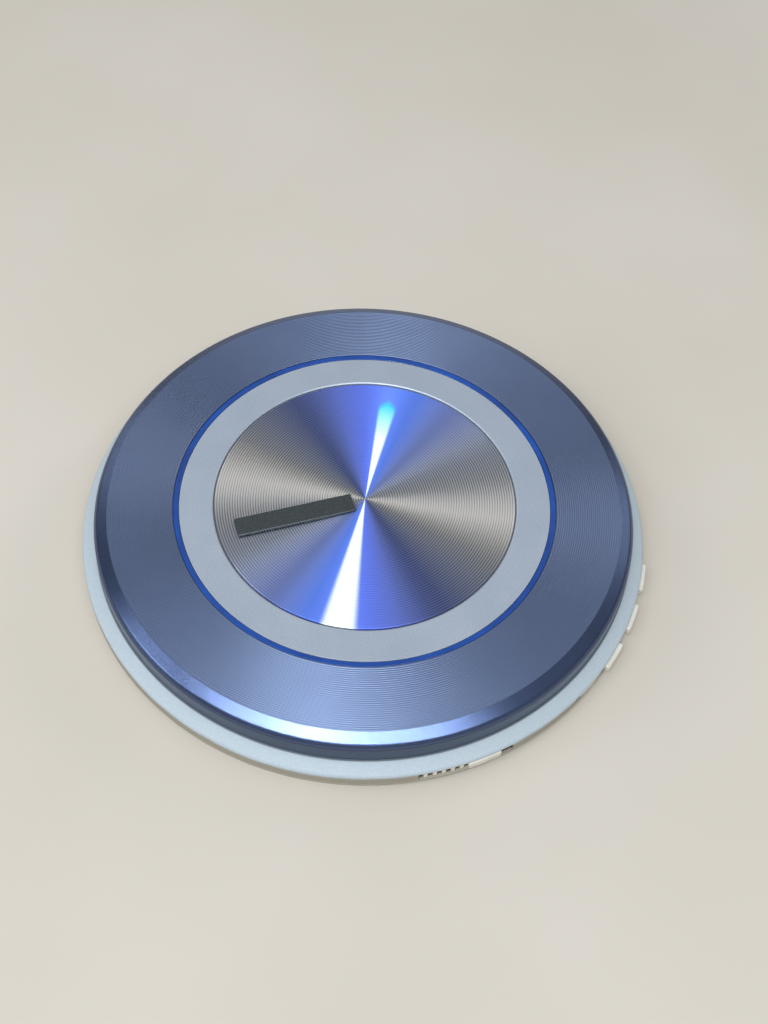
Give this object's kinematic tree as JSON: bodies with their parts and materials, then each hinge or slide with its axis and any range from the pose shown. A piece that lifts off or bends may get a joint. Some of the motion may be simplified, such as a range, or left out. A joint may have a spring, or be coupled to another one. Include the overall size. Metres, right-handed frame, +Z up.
{
  "type": "portable cd player",
  "caption": "Slim round portable disc player: spun metal lid on a rear hinge, front latch slider, side keys, disc drive with lead-screw pickup, and a flat battery bay.",
  "frame": {"origin": "middle of the base, in the plane that the feet stand on", "axes": "+Z up through the disc's axis, front (the latch slider) towards -Y, lid hinge towards +Y, side keys and jacks towards +X"},
  "size_m": [0.1334, 0.1336, 0.0163],
  "materials": {
    "blue_anodised": "blue-grey anodised, fine spun lines",
    "accent_blue": "deep blue, clear lacquer",
    "satin_grey": "pale blue-grey satin",
    "spun_aluminium": "spun, bright",
    "dark_badge": "anthracite, satin, bare",
    "pale_case": "pale silver-blue lacquer",
    "pale_key": "warm pale grey, as moulded",
    "grey_moulding": "dark grey, fine grain",
    "black_moulding": "black, as moulded",
    "bright_steel": "ground and polished",
    "zinc_sheet": "zinc plated",
    "die_cast": "as cast",
    "rubber": "soft black",
    "board_green": "green solder resist",
    "chip_black": "moulded epoxy",
    "lens_glass": "coated lens",
    "copper_film": "amber film over copper",
    "sprung_bronze": "bright"
  },
  "bodies": {
    "lid": {"lid_panel": "blue_anodised", "blue_accent_ring": "accent_blue", "trim_ring": "satin_grey", "centre_plate": "spun_aluminium", "badge_bar": "dark_badge", "lid_frame": "grey_moulding", "lid_hook": "bright_steel"},
    "base": {"upper_cabinet": "pale_case", "bottom_shell": "pale_case", "case_screw_1": "bright_steel", "case_screw_2": "bright_steel", "case_screw_3": "bright_steel", "case_screw_4": "bright_steel", "foot_1": "rubber", "foot_2": "rubber", "foot_3": "rubber", "foot_4": "rubber", "hinge_pin": "bright_steel", "hinge_spring": "bright_steel", "key_switch_1": "black_moulding", "key_switch_2": "black_moulding", "key_switch_3": "black_moulding", "hold_switch": "zinc_sheet", "mech_chassis": "zinc_sheet", "mech_damper_1": "rubber", "mech_damper_2": "rubber", "mech_damper_3": "rubber", "guide_shaft_main": "bright_steel", "guide_shaft_sub": "bright_steel", "spindle_motor": "zinc_sheet", "feed_motor": "zinc_sheet", "feed_bracket": "zinc_sheet", "main_board": "board_green", "processor_chip": "chip_black", "lid_switch": "black_moulding", "headphone_jack": "black_moulding", "dc_jack": "black_moulding", "board_ribbon": "copper_film", "contact_plus": "sprung_bronze", "contact_minus": "sprung_bronze", "contact_bridge": "sprung_bronze"},
    "open_slider": {"open_slider": "pale_key", "latch_spring": "bright_steel"},
    "hold_slider": {"hold_slider": "pale_key"},
    "key_1": {"key_1": "pale_key"},
    "key_2": {"key_2": "pale_key"},
    "key_3": {"key_3": "pale_key"},
    "turntable": {"turntable": "black_moulding", "disc_pad": "rubber", "spindle_shaft": "bright_steel"},
    "clamp_pawl_1": {"clamp_pawl_1": "pale_key"},
    "clamp_pawl_2": {"clamp_pawl_2": "pale_key"},
    "clamp_pawl_3": {"clamp_pawl_3": "pale_key"},
    "pickup": {"pickup_sled": "die_cast", "actuator_yoke": "zinc_sheet"},
    "lens": {"lens_holder": "black_moulding", "objective_lens": "lens_glass"},
    "lead_screw": {"lead_screw": "bright_steel"},
    "battery_door": {"battery_door": "pale_case"}
  },
  "joints": [
    {"name": "lid_hinge", "type": "hinge", "parent": "base", "child": "lid", "pos_m": [0, 0.0628, 0.0093], "axis": [-1, 0, 0], "range_deg": [0, 70]},
    {"name": "open_slide", "type": "slide", "parent": "base", "child": "open_slider", "axis": [0.9982, 0.0593, 0], "range_m": [0, 0.0028], "stiffness_N_per_m": 150, "springref_m": -0.001},
    {"name": "hold_slide", "type": "slide", "parent": "base", "child": "hold_slider", "axis": [-0.8406, -0.5417, 0], "range_m": [0, 0.0021]},
    {"name": "key_1_press", "type": "slide", "parent": "base", "child": "key_1", "axis": [-0.6587, 0.7524, 0], "range_m": [0, 0.0004], "stiffness_N_per_m": 1500, "springref_m": -0.0002},
    {"name": "key_2_press", "type": "slide", "parent": "base", "child": "key_2", "axis": [-0.7771, 0.6293, 0], "range_m": [0, 0.0004], "stiffness_N_per_m": 1500, "springref_m": -0.0002},
    {"name": "key_3_press", "type": "slide", "parent": "base", "child": "key_3", "axis": [-0.8729, 0.4879, 0], "range_m": [0, 0.0004], "stiffness_N_per_m": 1500, "springref_m": -0.0002},
    {"name": "disc_spin", "type": "hinge", "parent": "base", "child": "turntable", "pos_m": [0, 0, 0.0109], "axis": [0, 0, 1], "continuous": true},
    {"name": "pawl_1_press", "type": "slide", "parent": "turntable", "child": "clamp_pawl_1", "axis": [-1, 0, 0], "range_m": [0, 0.0005], "stiffness_N_per_m": 400, "springref_m": -0.0002},
    {"name": "pawl_2_press", "type": "slide", "parent": "turntable", "child": "clamp_pawl_2", "axis": [0.5, -0.866, 0], "range_m": [0, 0.0005], "stiffness_N_per_m": 400, "springref_m": -0.0002},
    {"name": "pawl_3_press", "type": "slide", "parent": "turntable", "child": "clamp_pawl_3", "axis": [0.5, 0.866, 0], "range_m": [0, 0.0005], "stiffness_N_per_m": 400, "springref_m": -0.0002},
    {"name": "sled_travel", "type": "slide", "parent": "base", "child": "pickup", "axis": [-1, 0, 0], "range_m": [0, 0.033]},
    {"name": "lens_focus", "type": "slide", "parent": "pickup", "child": "lens", "axis": [0, 0, 1], "range_m": [-0.0004, 0.0004], "stiffness_N_per_m": 25},
    {"name": "lead_screw_turn", "type": "hinge", "parent": "base", "child": "lead_screw", "pos_m": [-0.0602, -0.0172, 0.0049], "axis": [1, 0, 0], "range_deg": [0, 3961]},
    {"name": "battery_door_hinge", "type": "hinge", "parent": "base", "child": "battery_door", "pos_m": [0, 0.01695, 0.001], "axis": [-1, 0, 0], "range_deg": [0, 95]}
  ],
  "couplings": [
    {"joint": "lead_screw_turn", "follows": "sled_travel", "rad_per_m": 2094.4}
  ]
}
